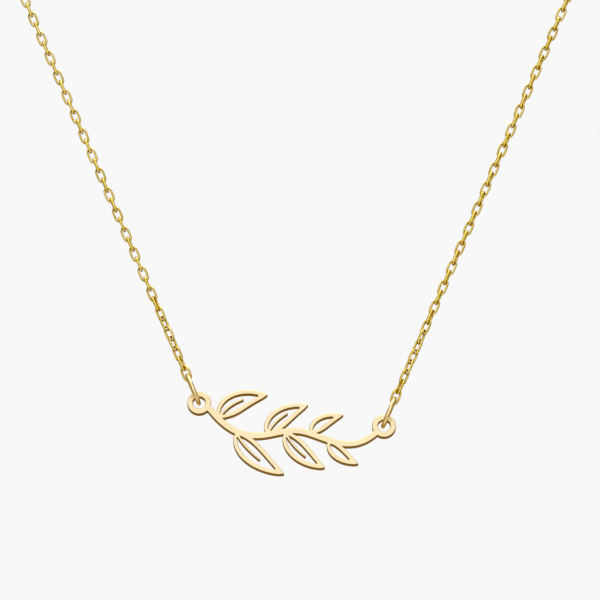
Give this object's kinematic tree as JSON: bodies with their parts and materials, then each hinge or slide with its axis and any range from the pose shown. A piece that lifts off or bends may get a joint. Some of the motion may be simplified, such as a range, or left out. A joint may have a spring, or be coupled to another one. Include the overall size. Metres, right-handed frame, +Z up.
{
  "type": "nameplate necklace",
  "caption": "Necklace of fine cable chain with a pierced flourish plate hung between two rings, closed at the nape by a ring clasp.",
  "frame": {"origin": "where the necklace sits on the nape, at the middle of the clasp", "axes": "+Z up; -Y towards the front, where the plate hangs; +X towards the viewer's right when the plate is seen from the front"},
  "size_m": [0.1082, 0.0828, 0.1251],
  "materials": {
    "plate_gold": "satin",
    "ring_gold": "polished",
    "chain_gold": "polished"
  },
  "bodies": {
    "necklace": {"chain_left": "chain_gold", "chain_right": "chain_gold", "jump_ring_left": "ring_gold", "jump_ring_right": "ring_gold", "end_ring_left": "ring_gold", "end_ring_right": "ring_gold", "clasp": "ring_gold"},
    "pendant": {"nameplate": "plate_gold"}
  },
  "joints": [
    {"name": "pendant_swing", "type": "hinge", "parent": "necklace", "child": "pendant", "pos_m": [-0.01556, -0.078, -0.10986], "axis": [0.9913, 0, -0.1319], "range_deg": [-20, 20]}
  ]
}
